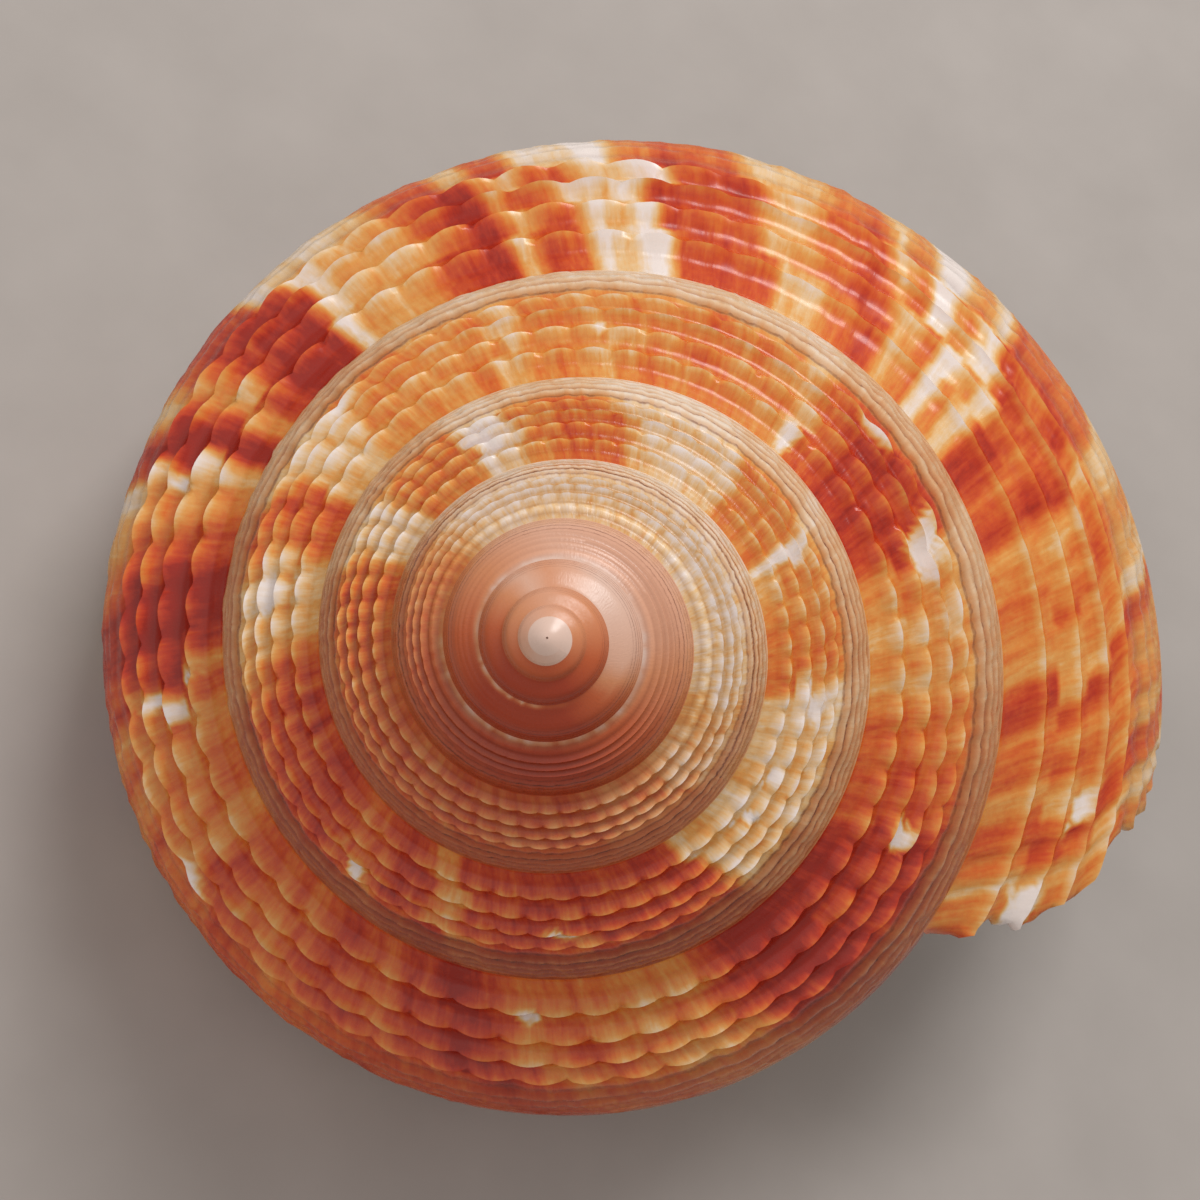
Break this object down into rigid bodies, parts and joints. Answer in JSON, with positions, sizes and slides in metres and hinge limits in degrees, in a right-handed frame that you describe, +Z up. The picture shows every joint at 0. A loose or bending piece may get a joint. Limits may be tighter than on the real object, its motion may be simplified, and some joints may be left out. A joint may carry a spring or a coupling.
{
  "type": "slit shell",
  "caption": "Top-shaped sea snail shell with beaded spiral cords, flame markings, a slit in the outer lip and a pearly opening; it rests on its rounded base.",
  "frame": {"origin": "on the ground under the middle of the shell's box, as it lies on its base", "axes": "+Z up from the surface it lies on; +X towards the side of the outer lip; +Y away from the side that the tip leans to"},
  "size_m": [0.0578, 0.057, 0.0433],
  "materials": {
    "shell": "glossy lime shell with red, orange, yellow and white flames, pearly inside"
  },
  "bodies": {
    "root": {"shell": "shell"}
  },
  "joints": []
}
